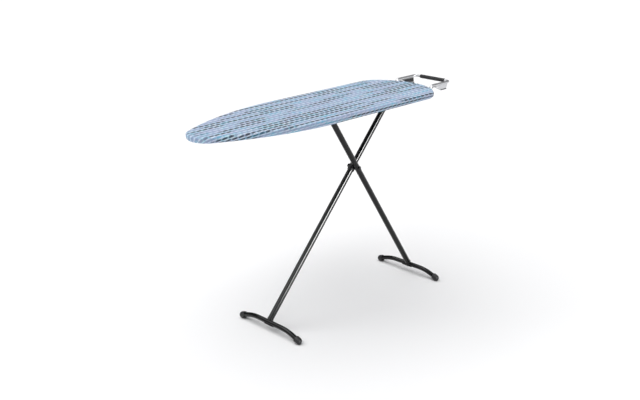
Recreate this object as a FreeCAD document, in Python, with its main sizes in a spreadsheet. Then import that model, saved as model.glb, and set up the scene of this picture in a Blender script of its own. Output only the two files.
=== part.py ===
"""Folding ironing board with T-legs, a height lever and an iron rest.

Millimetres. +Z is up and +X runs from the rounded nose to the iron rest. The origin is on the
floor, under the middle of the whole object. "near" pieces are on the -Y side, "far" on the +Y side.
"""
import FreeCAD, Part
import math
import os

from FreeCAD import Placement, Rotation, Vector

# Driving dimensions: alias, value.
DIMENSIONS = [
    # Board outline, seen from above.
    ("nose_x", -617.0),
    ("board_length", 1111.5),
    ("board_width", 343.4),
    ("taper_length", 495.0),
    ("side_radius", 1010.0),
    ("tail_radius", 200.0),
    ("corner_radius", 80.0),
    # Layers of the board, from the top down.
    ("board_top", 801.0),
    ("edge_height", 21.0),
    ("edge_round", 9.0),
    ("cover_thickness", 2.0),
    ("cover_wall", 5.0),
    ("cover_tuck", 26.0),
    ("hem_diameter", 4.0),
    ("pad_thickness", 5.0),
    ("pad_gap", 0.4),
    ("mesh_thickness", 0.8),
    ("rim_diameter", 10.0),
    ("rim_wall", 1.0),
    ("rim_inset", 10.6),
    ("diamond_length", 34.0),
    ("diamond_width", 15.0),
    ("diamond_pitch_x", 44.0),
    ("diamond_pitch_y", 24.0),
    # Rails and braces under the board.
    ("brace_thickness", 3.0),
    ("brace_width", 28.0),
    ("brace_front_x", -190.0),
    ("brace_middle_x", 77.0),
    ("brace_rear_x", 300.0),
    ("rest_strap_x", 397.0),
    ("rest_strap_width", 48.0),
    ("rail_inside", 38.0),
    ("rail_sheet", 1.5),
    ("rail_flange", 18.0),
    ("rail_start_x", -257.0),
    ("rail_end_x", 383.0),
    ("rail_bottom", 741.0),
    ("rail_chamfer", 20.0),
    ("slot_room", 0.8),
    ("slide_rise", 4.0),
    # Legs.
    ("leg_diameter", 22.0),
    ("leg_wall", 1.2),
    ("leg_offset", 12.2),
    ("leg_start", 6.0),
    ("leg_overshoot", 13.0),
    ("plug_length", 3.5),
    ("pin_height", 755.0),
    ("front_hinge_x", 354.6),
    ("rear_axle_x", 0.2),
    ("foot_height", 32.6),
    ("foot_offset", 7.0),
    ("front_foot_x", -291.2),
    ("rear_foot_x", 484.3),
    ("axle_travel", 222.0),
    ("hinge_pin_diameter", 12.0),
    ("hinge_sleeve_diameter", 20.0),
    ("axle_diameter", 10.0),
    ("axle_length", 92.0),
    ("bush_diameter", 14.0),
    ("bush_length", 8.0),
    ("bush_lap", 3.0),
    ("clip_sheet", 1.5),
    ("pivot_diameter", 8.0),
    ("bolt_head_radius", 6.5),
    ("bolt_head_height", 2.6),
    ("washer_sheet", 1.2),
    ("collar_diameter", 27.0),
    ("collar_length", 36.0),
    ("running_gap", 0.05),
    # Feet.
    ("foot_bar_diameter", 18.0),
    ("foot_wall", 1.4),
    ("foot_bend_reach", 93.3),
    ("foot_bend_radius", 200.0),
    ("foot_end_slope", 20.0),
    ("foot_bar_reach", 144.0),
    ("foot_cap_reach", 143.0),
    ("foot_cap_diameter", 25.0),
    ("foot_cap_length", 15.0),
    ("saddle_sheet", 2.0),
    ("saddle_length", 44.0),
    # Iron rest.
    ("rest_tube_diameter", 10.0),
    ("rest_half_width", 86.0),
    ("rest_level", 801.0),
    ("rest_under_level", 766.0),
    ("rest_start_x", 369.0),
    ("rest_rise_x", 486.0),
    ("rest_top_x", 490.0),
    ("rest_end_x", 609.5),
    ("rest_corner_radius", 15.0),
    ("rest_bend_radius", 12.0),
    ("sleeve_diameter", 15.0),
    ("sleeve_start_y", -62.0),
    ("sleeve_length", 120.0),
    ("wing_sheet", 1.6),
    ("wing_x", 569.0),
    ("wing_top_back", 50.0),
    ("wing_top_front", 28.0),
    ("wing_low_back", 8.0),
    ("wing_low_front", 26.0),
    ("wing_depth", 20.0),
    ("wing_drop", 5.3),
    ("wing_slope", 78.0),
    ("wing_pad_thickness", 2.4),
    ("lip_diameter", 4.4),
    ("stay_diameter", 4.0),
    ("stay_x", 513.0),
    ("heel_diameter", 5.0),
    ("heel_x", 506.0),
    ("heel_level", 783.0),
    ("clamp_front_x", 384.0),
    ("clamp_rear_x", 410.0),
    ("clamp_length", 20.0),
    ("clamp_width", 24.0),
    ("clamp_below", 8.0),
    ("screw_head_diameter", 9.0),
    ("screw_head_height", 2.6),
    # Height lever.
    ("lever_x", -243.0),
    ("lever_level", 759.0),
    ("lever_wire_diameter", 8.0),
    ("lever_reach_y", 115.0),
    ("lever_end_x", -11.0),
    ("grip_diameter", 18.0),
    ("grip_length", 122.0),
    ("latch_sheet", 2.5),
    ("latch_y", 28.5),
    ("latch_bottom", 765.0),
    ("latch_top", 776.5),
    ("notch_pitch", 36.0),
    # Length of the plain blocks and bars that are only cut away, longer than any piece they cut.
    ("tool_length", 120.0),
]
DIM = dict(DIMENSIONS)
HALF_TURN = 180.0
SIDES = (("near", -1), ("far", 1))
# Identical fasteners share one sub-part: its number of separate solids.
GROUPS = {"rest_screws": 4}

doc = FreeCAD.newDocument("IroningBoard")
nodes = []


# ---------------------------------------------------------------- document helpers

def fill_sheet():
    """Writes the driving dimensions to the spreadsheet."""
    sheet = doc.addObject("Spreadsheet::Sheet", "Dims")
    for row, (alias, value) in enumerate(DIMENSIONS, start=1):
        sheet.set(f"A{row}", alias)
        sheet.set(f"B{row}", str(value))
        sheet.setAlias(f"B{row}", alias)
    doc.recompute()


def bind(item, **expressions):
    """Binds properties of one object to the spreadsheet."""
    for name, text in expressions.items():
        words = text.split()
        bound = [f"Dims.{word}" if word in DIM else word for word in words]
        item.setExpression(name, " ".join(bound))
    return item


def keep(item, label):
    """Gives a finished sub-part its label and lists it for export."""
    item.Label = label
    nodes.append(item)
    return item


def turned(base, direction):
    """Placement that moves the origin to base and turns +Z to direction."""
    return Placement(base, Rotation(Vector(0, 0, 1), direction))


def cylinder(name, base, direction, radius, height):
    """A bound cylinder that starts at base and runs along direction."""
    item = doc.addObject("Part::Cylinder", name)
    bind(item, Radius=radius, Height=height)
    item.Placement = turned(base, direction)
    return item


def box(name, corner, size):
    """A bound box from its lowest corner."""
    item = doc.addObject("Part::Box", name)
    bind(item, Length=size[0], Width=size[1], Height=size[2])
    item.Placement.Base = corner
    return item


def cut(name, base, tools):
    """base minus every tool."""
    tool = tools[0]
    if len(tools) > 1:
        tool = doc.addObject("Part::MultiFuse", f"{name}_tools")
        tool.Shapes = tools
    item = doc.addObject("Part::Cut", name)
    item.Base = base
    item.Tool = tool
    return item


def ring(name, base, direction, outer, inner, height):
    """A round sleeve: outer cylinder minus its bore."""
    shell = cylinder(f"{name}_outside", base, direction, outer, height)
    bore = cylinder(f"{name}_bore", base, direction, inner, height)
    return cut(name, shell, [bore])


def rounded(name, base, radius, wanted):
    """Fillets the edges of base that wanted() accepts."""
    doc.recompute()
    edges = [
        (index, radius, radius)
        for index, edge in enumerate(base.Shape.Edges, start=1)
        if wanted(edge)
    ]
    item = doc.addObject("Part::Fillet", name)
    item.Base = base
    item.Edges = edges
    return item


def sketch_in(body, role, name, offset=0.0):
    """A sketch on one of the body's own origin planes, moved along its normal."""
    sketch = body.newObject("Sketcher::SketchObject", name)
    plane = next(item for item in body.Origin.OriginFeatures if item.Role == role)
    sketch.AttachmentSupport = (plane, [""])
    sketch.MapMode = "FlatFace"
    sketch.AttachmentOffset = Placement(Vector(0, 0, offset), Rotation())
    return sketch


def pad(body, name, sketch, length, midplane=False):
    """Pads a sketch by a bound length."""
    item = body.newObject("PartDesign::Pad", name)
    item.Profile = sketch
    item.Midplane = midplane
    bind(item, Length=length)
    sketch.Visibility = False
    return item


def pocket(body, name, sketch, length, upward=True):
    """Cuts a sketch out of the body, towards +Z of the sketch when upward."""
    item = body.newObject("PartDesign::Pocket", name)
    item.Profile = sketch
    item.Reversed = upward
    bind(item, Length=length)
    return item


def polygon(sketch, points):
    """Adds a closed outline of straight lines."""
    corners = [Vector(x, y, 0) for x, y in points]
    for start, end in zip(corners, corners[1:] + corners[:1]):
        sketch.addGeometry(Part.LineSegment(start, end), False)


def circle(sketch, x, y, radius):
    """Adds a circle."""
    sketch.addGeometry(Part.Circle(Vector(x, y, 0), Vector(0, 0, 1), radius), False)


def rounded_route(points, radii):
    """A wire of straight runs joined by tangent arcs, one radius for each inner point."""
    edges = []
    start = points[0]
    for before, corner, after, radius in zip(points, points[1:], points[2:], radii):
        towards = (before - corner).normalize()
        away = (after - corner).normalize()
        half = towards.getAngle(away) / 2
        reach = radius / math.tan(half)
        middle = corner + (towards + away).normalize() * (radius / math.sin(half) - radius)
        first = corner + towards * reach
        last = corner + away * reach
        edges.append(Part.LineSegment(start, first).toShape())
        edges.append(Part.Arc(first, middle, last).toShape())
        start = last
    edges.append(Part.LineSegment(start, points[-1]).toShape())
    return Part.Wire(edges)


def round_sweep(label, route, direction, radius):
    """A round bar along a route that starts in the given direction."""
    start = route.Edges[0].valueAt(route.Edges[0].FirstParameter)
    section = Part.Wire(Part.makeCircle(radius, start, direction))
    item = doc.addObject("Part::Feature", label)
    item.Shape = Part.Wire(route.Edges).makePipeShell([section], True, False)
    return keep(item, label)


# ---------------------------------------------------------------- board outline

def outline_centres():
    """Centres and radii of the outline's arcs, worked out from tangency."""
    half = DIM["board_width"] / 2
    side = DIM["side_radius"]
    taper = DIM["taper_length"]
    drop = side - half
    nose = (side ** 2 - taper ** 2 - drop ** 2) / (2 * (side - taper))
    tail = DIM["tail_radius"]
    corner = DIM["corner_radius"]
    tail_x = DIM["nose_x"] + DIM["board_length"] - tail
    corner_x = tail_x + math.sqrt((tail - corner) ** 2 - (half - corner) ** 2)
    return {
        "nose": (DIM["nose_x"] + nose, 0.0, nose),
        "side": (DIM["nose_x"] + taper, -drop, side),
        "corner": (corner_x, half - corner, corner),
        "tail": (tail_x, 0.0, tail),
    }


def half_width(x, inset=0.0):
    """Half of the width at x of the outline inset from the board's edge, up to the tail's corners."""
    centres = outline_centres()
    side_x, side_y, side = centres["side"]
    corner_x, corner_y, corner = centres["corner"]
    if x > corner_x:
        return corner_y + math.sqrt((corner - inset) ** 2 - (x - corner_x) ** 2)
    if x >= side_x:
        return DIM["board_width"] / 2 - inset
    nose_x, _, nose = centres["nose"]
    touch_x = nose_x + (nose_x - side_x) / (side - nose) * (nose - inset)
    if x > touch_x:
        return side_y + math.sqrt((side - inset) ** 2 - (side_x - x) ** 2)
    return math.sqrt(max((nose - inset) ** 2 - (nose_x - x) ** 2, 0.0))


def outline_arcs(inset):
    """The closed outline, inset from the board's edge, as curves in order from the nose."""
    centres = outline_centres()
    half = DIM["board_width"] / 2 - inset
    nose_x, _, nose = centres["nose"]
    side_x, side_y, side = centres["side"]
    corner_x, corner_y, corner = centres["corner"]
    tail_x, _, tail = centres["tail"]
    touch = math.atan2(-side_y, nose_x - side_x)
    turn = math.atan2(corner_y, corner_x - tail_x)

    def arc(x, y, radius, start, end):
        ring_curve = Part.Circle(Vector(x, y, 0), Vector(0, 0, 1), radius - inset)
        return Part.ArcOfCircle(ring_curve, start, end)

    def line(x0, y0, x1, y1):
        return Part.LineSegment(Vector(x0, y0, 0), Vector(x1, y1, 0))

    quarter = math.pi / 2
    return [
        arc(nose_x, 0, nose, touch, 2 * math.pi - touch),
        arc(side_x, -side_y, side, 2 * math.pi - touch, 3 * quarter),
        line(side_x, -half, corner_x, -half),
        arc(corner_x, -corner_y, corner, 3 * quarter, 2 * math.pi - turn),
        arc(tail_x, 0, tail, -turn, turn),
        arc(corner_x, corner_y, corner, turn, quarter),
        line(corner_x, half, side_x, half),
        arc(side_x, side_y, side, quarter, touch),
    ]


def board_sketch(body, name, level, inset):
    """A sketch of the board's outline at a level."""
    sketch = sketch_in(body, "XY_Plane", name, level)
    for curve in outline_arcs(inset):
        sketch.addGeometry(curve, False)
    return sketch


def outline_bar(inset, level, radius):
    """Shape of a round bar that follows the board's outline."""
    edges = Part.sortEdges([curve.toShape() for curve in outline_arcs(inset)])[0]
    route = Part.Wire(edges)
    route.translate(Vector(0, 0, level))
    first = route.Edges[0]
    direction = first.tangentAt(first.FirstParameter)
    start = first.valueAt(first.FirstParameter)
    section = Part.Wire(Part.makeCircle(radius, start, direction))
    return route.makePipeShell([section], True, False)


def outline_ring(label, inset, level, diameter, wall=0.0):
    """A round bar along the board's outline, hollow when it has a wall."""
    shape = outline_bar(inset, level, diameter / 2)
    if wall:
        shape = shape.cut(outline_bar(inset, level, diameter / 2 - wall))
    item = doc.addObject("Part::Feature", label)
    item.Shape = shape
    return keep(item, label)


# ---------------------------------------------------------------- levels worked out from the sheet

COVER_BOTTOM = DIM["board_top"] - DIM["edge_height"]
PAD_TOP = DIM["board_top"] - DIM["cover_thickness"] - DIM["pad_gap"]
MESH_TOP = PAD_TOP - DIM["pad_thickness"]
MESH_BOTTOM = MESH_TOP - DIM["mesh_thickness"]
BRACE_BOTTOM = MESH_BOTTOM - DIM["brace_thickness"]
RIM_LEVEL = MESH_BOTTOM - DIM["rim_diameter"] / 2
Y_AXIS = Vector(0, 1, 0)
X_AXIS = Vector(1, 0, 0)
Z_AXIS = Vector(0, 0, 1)


def leg_point(pin_x, foot_x, share):
    """A point on a leg's line, from its top pin (share 0) to its foot (share 1), in the XZ plane."""
    top = Vector(pin_x, 0, DIM["pin_height"])
    foot = Vector(foot_x, 0, DIM["foot_height"])
    return top + (foot - top) * share


PIVOT_SHARE = (DIM["front_hinge_x"] - DIM["rear_axle_x"]) / (
    DIM["front_hinge_x"] - DIM["rear_axle_x"] + DIM["rear_foot_x"] - DIM["front_foot_x"]
)
PIVOT = leg_point(DIM["front_hinge_x"], DIM["front_foot_x"], PIVOT_SHARE)


# ---------------------------------------------------------------- board

def make_cover():
    """Fabric cover: a rounded sheet with a skirt that tucks under the rim."""
    body = doc.addObject("PartDesign::Body", "cover")
    outside = board_sketch(body, "cover_outline", COVER_BOTTOM, 0.0)
    block = pad(body, "cover_block", outside, "edge_height")
    doc.recompute()
    levels = (COVER_BOTTOM, DIM["board_top"])
    edges = [
        f"Edge{index}"
        for index, edge in enumerate(body.Shape.Edges, start=1)
        if edge.BoundBox.ZLength < 0.1 and min(abs(edge.BoundBox.ZMin - z) for z in levels) < 0.1
    ]
    fillet = body.newObject("PartDesign::Fillet", "cover_round")
    fillet.Base = (block, edges)
    bind(fillet, Radius="edge_round")
    doc.recompute()
    room = board_sketch(body, "cover_room", COVER_BOTTOM + DIM["cover_thickness"], DIM["cover_wall"])
    pocket(body, "cover_inside", room, "edge_height - 2 * cover_thickness")
    mouth = board_sketch(body, "cover_mouth", COVER_BOTTOM, DIM["cover_tuck"])
    pocket(body, "cover_opening", mouth, "2 * cover_thickness")
    return keep(body, "cover")


def make_pad():
    """Felt underlay between the cover and the steel top."""
    body = doc.addObject("PartDesign::Body", "felt_pad")
    outline = board_sketch(body, "felt_outline", MESH_TOP, DIM["cover_wall"] + 0.4)
    pad(body, "felt_sheet", outline, "pad_thickness")
    return keep(body, "felt_pad")


def diamond_centres():
    """Centres of the mesh's diamonds: staggered rows that stay clear of the rim."""
    margin = DIM["rim_inset"] + DIM["rim_diameter"] / 2 + DIM["diamond_width"] / 2
    pitch_x = DIM["diamond_pitch_x"]
    pitch_y = DIM["diamond_pitch_y"]
    first = DIM["nose_x"] + margin + DIM["diamond_length"]
    last = DIM["nose_x"] + DIM["board_length"] - DIM["corner_radius"] - pitch_x
    rows = int(DIM["board_width"] / 2 // pitch_y)
    for row in range(-rows, rows + 1):
        x = first + (row % 2) * pitch_x / 2
        while x < last:
            tight_x = x - DIM["diamond_length"] / 2
            if half_width(tight_x, margin) > abs(row * pitch_y):
                yield x, row * pitch_y
            x += pitch_x


def make_mesh():
    """Steel top sheet with staggered diamond openings that let the steam through."""
    body = doc.addObject("PartDesign::Body", "mesh_top")
    outline = board_sketch(body, "mesh_outline", MESH_BOTTOM, DIM["rim_inset"] - 4)
    pad(body, "mesh_sheet", outline, "mesh_thickness")
    doc.recompute()
    openings = sketch_in(body, "XY_Plane", "mesh_diamonds", MESH_BOTTOM)
    long_half = DIM["diamond_length"] / 2
    wide_half = DIM["diamond_width"] / 2
    for x, y in diamond_centres():
        polygon(openings, [(x - long_half, y), (x, y - wide_half), (x + long_half, y), (x, y + wide_half)])
    pocket(body, "mesh_openings", openings, "2 * mesh_thickness")
    return keep(body, "mesh_top")


def make_brace(label, x, width):
    """Flat steel strap across the underside, from rim to rim."""
    inset = DIM["rim_inset"] + DIM["rim_diameter"] / 2 + 0.3
    reach = min(half_width(x + end * DIM[width] / 2, inset) for end in (-1, 1))
    body = doc.addObject("PartDesign::Body", label)
    outline = sketch_in(body, "XY_Plane", f"{label}_outline")
    half = DIM[width] / 2
    polygon(outline, [(-half, -reach), (half, -reach), (half, reach), (-half, reach)])
    pad(body, f"{label}_strap", outline, "brace_thickness")
    body.Placement.Base = Vector(x, 0, BRACE_BOTTOM)
    return keep(body, label)


def slot_outline(sketch, start_x, end_x, low, high):
    """A long slot with round ends, given by its end centres and its two edges."""
    middle = (low + high) / 2
    radius = (high - low) / 2
    quarter = math.pi / 2
    ends = ((start_x, quarter, 3 * quarter), (end_x, -quarter, quarter))
    for x, first, last in ends:
        curve = Part.Circle(Vector(x, middle, 0), Z_AXIS, radius)
        sketch.addGeometry(Part.ArcOfCircle(curve, first, last), False)
    for level in (low, high):
        sketch.addGeometry(Part.LineSegment(Vector(start_x, level, 0), Vector(end_x, level, 0)), False)


def make_rail(side_name, side):
    """Pressed rail: a web with the axle's slot and the pin holes, and a flange under the braces."""
    label = f"rail_{side_name}"
    start_x = DIM["rail_start_x"]
    end_x = DIM["rail_end_x"]
    chamfer = DIM["rail_chamfer"]
    body = doc.addObject("PartDesign::Body", label)
    web = sketch_in(body, "XZ_Plane", f"{label}_web")
    polygon(web, [
        (start_x, BRACE_BOTTOM), (start_x, DIM["rail_bottom"] + chamfer),
        (start_x + chamfer, DIM["rail_bottom"]), (end_x - chamfer, DIM["rail_bottom"]),
        (end_x, DIM["rail_bottom"] + chamfer), (end_x, BRACE_BOTTOM),
    ])
    bush = DIM["bush_diameter"] / 2 + DIM["slot_room"]
    low = DIM["pin_height"] - bush
    high = DIM["pin_height"] + bush + DIM["slide_rise"]
    slot_outline(web, DIM["rear_axle_x"] - DIM["axle_travel"] - 1, DIM["rear_axle_x"] + 1, low, high)
    circle(web, DIM["front_hinge_x"], DIM["pin_height"], DIM["hinge_pin_diameter"] / 2)
    circle(web, DIM["lever_x"], DIM["lever_level"], DIM["lever_wire_diameter"] / 2 + 0.08)
    pad(body, f"{label}_sheet", web, "rail_sheet", midplane=True)
    doc.recompute()
    flange = sketch_in(body, "XY_Plane", f"{label}_flange", BRACE_BOTTOM - DIM["rail_sheet"])
    outer = side * DIM["rail_flange"]
    polygon(flange, [(start_x, 0), (end_x, 0), (end_x, outer), (start_x, outer)])
    pad(body, f"{label}_top", flange, "rail_sheet")
    body.Placement.Base = Vector(0, side * (DIM["rail_inside"] + DIM["rail_sheet"] / 2), 0)
    return keep(body, label)


def make_hinge_pin():
    """Fixed pin of the front leg's hinge, with a push cap on each end."""
    reach = DIM["rail_inside"] + DIM["rail_sheet"] + 4.0
    start = Vector(DIM["front_hinge_x"], -reach, DIM["pin_height"])
    pin = cylinder("hinge_pin", start, Y_AXIS, "hinge_pin_diameter / 2",
                   "2 * ( rail_inside + rail_sheet + 4 )")
    keep(pin, "hinge_pin")
    for side_name, side in SIDES:
        y = side * (DIM["rail_inside"] + DIM["rail_sheet"] + 0.1)
        base = Vector(DIM["front_hinge_x"], y, DIM["pin_height"])
        cap = ring(f"hinge_cap_{side_name}", base, Y_AXIS * side, "hinge_pin_diameter / 2 + 4",
                   "hinge_pin_diameter / 2", "rail_sheet + 1")
        keep(cap, f"hinge_cap_{side_name}")


def make_board():
    """Everything that makes up the fixed board."""
    make_cover()
    hem_level = COVER_BOTTOM - DIM["hem_diameter"] / 2
    outline_ring("cover_hem", DIM["cover_tuck"] + 1, hem_level, DIM["hem_diameter"])
    make_pad()
    make_mesh()
    outline_ring("rim_tube", DIM["rim_inset"], RIM_LEVEL, DIM["rim_diameter"], DIM["rim_wall"])
    make_brace("brace_front", DIM["brace_front_x"], "brace_width")
    make_brace("brace_middle", DIM["brace_middle_x"], "brace_width")
    make_brace("brace_rear", DIM["brace_rear_x"], "brace_width")
    for side_name, side in SIDES:
        make_rail(side_name, side)
    make_hinge_pin()


# ---------------------------------------------------------------- iron rest

def make_rest_tube():
    """Bent tube: out from under the tail, up behind it and round the end of the rest."""
    reach = DIM["rest_half_width"]
    low = DIM["rest_under_level"]
    high = DIM["rest_level"]
    near = [
        Vector(DIM["rest_start_x"], -reach, low),
        Vector(DIM["rest_rise_x"], -reach, low),
        Vector(DIM["rest_top_x"], -reach, high),
        Vector(DIM["rest_end_x"], -reach, high),
    ]
    far = [Vector(point.x, -point.y, point.z) for point in reversed(near)]
    bend = DIM["rest_bend_radius"]
    corner = DIM["rest_corner_radius"]
    route = rounded_route(near + far, [bend, bend, corner, corner, bend, bend])
    round_sweep("rest_tube", route, X_AXIS, DIM["rest_tube_diameter"] / 2)


def make_sleeve():
    """Soft sleeve on the rest's end bar."""
    base = Vector(DIM["rest_end_x"], DIM["sleeve_start_y"], DIM["rest_level"])
    plain = ring("sleeve_plain", base, Y_AXIS, "sleeve_diameter / 2", "rest_tube_diameter / 2",
                 "sleeve_length")
    outer = DIM["sleeve_diameter"] / 2
    sleeve = rounded("rest_sleeve", plain, 1.8, lambda edge: is_circle(edge, outer))
    keep(sleeve, "rest_sleeve")


def is_circle(edge, radius):
    """True for a round edge of the given radius."""
    if edge.Degenerated:
        return False
    return isinstance(edge.Curve, Part.Circle) and abs(edge.Curve.Radius - radius) < 0.01


def wing_body(label, side, shrink, thickness, lift):
    """A sloping trapezoid that hangs from a side bar of the rest, lifted along its inner face."""
    slope = DIM["wing_slope"] if side < 0 else HALF_TURN - DIM["wing_slope"]
    depth = DIM["wing_depth"] - shrink
    body = doc.addObject("PartDesign::Body", label)
    outline = sketch_in(body, "XY_Plane", f"{label}_outline")
    polygon(outline, [
        (shrink - DIM["wing_top_back"], shrink), (DIM["wing_top_front"] - shrink, shrink),
        (DIM["wing_low_front"] - shrink, depth), (shrink - DIM["wing_low_back"], depth),
    ])
    pad(body, f"{label}_plate", outline, thickness, midplane=True)
    turn = Rotation(X_AXIS, -slope)
    inward = turn.multVec(Z_AXIS) * (lift if side < 0 else -lift)
    start = Vector(DIM["wing_x"], side * DIM["rest_half_width"], DIM["rest_level"] - DIM["wing_drop"])
    body.Placement = Placement(start + inward, turn)
    return keep(body, label)


def make_wings():
    """Side wings that carry the sole of the iron, their heat-proof pads and edge lips."""
    slope = math.radians(DIM["wing_slope"])
    gap = (DIM["wing_sheet"] + DIM["wing_pad_thickness"]) / 2 + 0.02
    for side_name, side in SIDES:
        wing_body(f"rest_wing_{side_name}", side, 0.0, "wing_sheet", 0.0)
        wing_body(f"rest_pad_{side_name}", side, 3.0, "wing_pad_thickness", gap)
        depth = DIM["wing_depth"] + DIM["lip_diameter"] / 2
        inward = depth * math.cos(slope)
        low = DIM["rest_level"] - DIM["wing_drop"] - depth * math.sin(slope)
        y = side * (DIM["rest_half_width"] - inward)
        base = Vector(DIM["wing_x"] - DIM["wing_low_back"], y, low)
        lip = cylinder(f"rest_lip_{side_name}", base, X_AXIS, "lip_diameter / 2",
                       "wing_low_back + wing_low_front")
        keep(lip, f"rest_lip_{side_name}")


def make_stays():
    """Thin rods from the side bars, just behind the tail, down to the front ends of the lips."""
    slope = math.radians(DIM["wing_slope"])
    depth = DIM["wing_depth"] + DIM["lip_diameter"] / 2
    for side_name, side in SIDES:
        drop = (DIM["rest_tube_diameter"] + DIM["stay_diameter"]) / 2 + 0.3
        start = Vector(DIM["stay_x"], side * DIM["rest_half_width"], DIM["rest_level"] - drop)
        end = Vector(
            DIM["wing_x"] - DIM["wing_low_back"] - 1,
            side * (DIM["rest_half_width"] - depth * math.cos(slope)),
            DIM["rest_level"] - DIM["wing_drop"] - depth * math.sin(slope),
        )
        length = (end - start).Length
        rod = cylinder(f"rest_stay_{side_name}", start, end - start, "stay_diameter / 2", f"{length:.4f}")
        keep(rod, f"rest_stay_{side_name}")


def make_heel_bar():
    """Thin bar behind the tail that stops the heel of the iron, hung from the two side bars."""
    top = DIM["rest_level"] - DIM["rest_tube_diameter"] / 2 - DIM["heel_diameter"] / 2 + 1
    reach = DIM["rest_half_width"]
    x = DIM["heel_x"]
    low = DIM["heel_level"]
    points = [
        Vector(x, -reach, top),
        Vector(x, -reach + 12, low),
        Vector(x, reach - 12, low),
        Vector(x, reach, top),
    ]
    route = rounded_route(points, [6.0, 6.0])
    round_sweep("heel_bar", route, points[1] - points[0], DIM["heel_diameter"] / 2)


def make_clamp(label, x, y):
    """Moulded saddle that holds the rest's tube under the board; gives back its screw's head."""
    low = DIM["rest_under_level"] - DIM["clamp_below"]
    corner = Vector(x - DIM["clamp_length"] / 2, y - DIM["clamp_width"] / 2, low)
    layers = "cover_thickness - pad_gap - pad_thickness - mesh_thickness - brace_thickness"
    height = f"board_top - {layers} - rest_under_level + clamp_below"
    block = box(f"{label}_block", corner, ("clamp_length", "clamp_width", height))
    start = Vector(x - DIM["clamp_length"], y, DIM["rest_under_level"])
    bore = cylinder(f"{label}_bore", start, X_AXIS, "rest_tube_diameter / 2", "2 * clamp_length")
    plain = cut(f"{label}_plain", block, [bore])
    clamp = rounded(label, plain, 3.0, lambda edge: is_low_side(edge, corner.z))
    keep(clamp, label)
    head = cylinder(f"{label}_screw", Vector(x, y, corner.z - 0.02), Z_AXIS * -1,
                    "screw_head_diameter / 2", "screw_head_height")
    return rounded(f"{label}_screw_head", head, 1.6, lambda edge: edge.BoundBox.ZMax < corner.z - 2)


def is_low_side(edge, level):
    """True for an edge in the plane at the given level that runs along X."""
    bounds = edge.BoundBox
    return bounds.ZMax < level + 0.01 and bounds.YLength < 0.01


def make_rest():
    """The iron rest and how it is held under the board."""
    make_brace("rest_strap", DIM["rest_strap_x"], "rest_strap_width")
    make_rest_tube()
    make_sleeve()
    make_wings()
    make_stays()
    make_heel_bar()
    screws = []
    for side_name, side in SIDES:
        y = side * DIM["rest_half_width"]
        screws.append(make_clamp(f"rest_clamp_{side_name}_front", DIM["clamp_front_x"], y))
        screws.append(make_clamp(f"rest_clamp_{side_name}_rear", DIM["clamp_rear_x"], y))
    group = doc.addObject("Part::Compound", "rest_screws")
    group.Links = screws
    keep(group, "rest_screws")


# ---------------------------------------------------------------- legs

def leg_length(pin_x, foot_x):
    """Expression for the length of a leg between its pin and its foot bar."""
    return f"sqrt( ( {pin_x} - {foot_x} ) ^ 2 + ( pin_height - foot_height ) ^ 2 )"


def make_leg_tube(label, pin_x, foot_x, offset, overshoot, tools):
    """Hollow leg tube from its foot bar to its top pin, past the pin by overshoot."""
    foot = Vector(DIM[foot_x], offset, DIM["foot_height"])
    top = Vector(DIM[pin_x], offset, DIM["pin_height"])
    direction = (top - foot).normalize()
    start = foot + direction * DIM["leg_start"]
    length = f"{leg_length(pin_x, foot_x)} + {overshoot} - leg_start"
    shell = cylinder(f"{label}_outside", start, direction, "leg_diameter / 2", length)
    bore = cylinder(f"{label}_inside", start, direction, "leg_diameter / 2 - leg_wall", length)
    cope = cylinder(f"{label}_cope", foot - Y_AXIS * (DIM["tool_length"] / 2), Y_AXIS,
                    "foot_bar_diameter / 2 + 0.1", "tool_length")
    return keep(cut(label, shell, [bore, cope] + tools), label)


def pivot_tool(name, radius):
    """A bar along Y through the crossing of the legs, to drill with."""
    return cylinder(name, PIVOT - Y_AXIS * (DIM["tool_length"] / 2), Y_AXIS, radius, "tool_length")


def make_collar():
    """Moulded collar round the front leg that spaces the two legs at their pivot."""
    direction = leg_point(DIM["front_hinge_x"], DIM["front_foot_x"], 0) - PIVOT
    direction.normalize()
    base = PIVOT + Y_AXIS * DIM["leg_offset"] - direction * DIM["collar_length"] / 2
    plain = ring("collar_plain", base, direction, "collar_diameter / 2", "leg_diameter / 2", "collar_length")
    outer = DIM["collar_diameter"] / 2
    soft = rounded("collar_round", plain, 1.8, lambda edge: is_circle(edge, outer))
    hole = pivot_tool("collar_hole", "pivot_diameter / 2")
    face = DIM["leg_diameter"] / 2 - DIM["leg_offset"] + 0.4
    tool = DIM["tool_length"]
    corner = PIVOT + Vector(-tool / 2, face - tool, -tool / 2)
    flat = box("collar_flat", corner, ("tool_length", "tool_length", "tool_length"))
    keep(cut("pivot_collar", soft, [hole, flat]), "pivot_collar")


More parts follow.
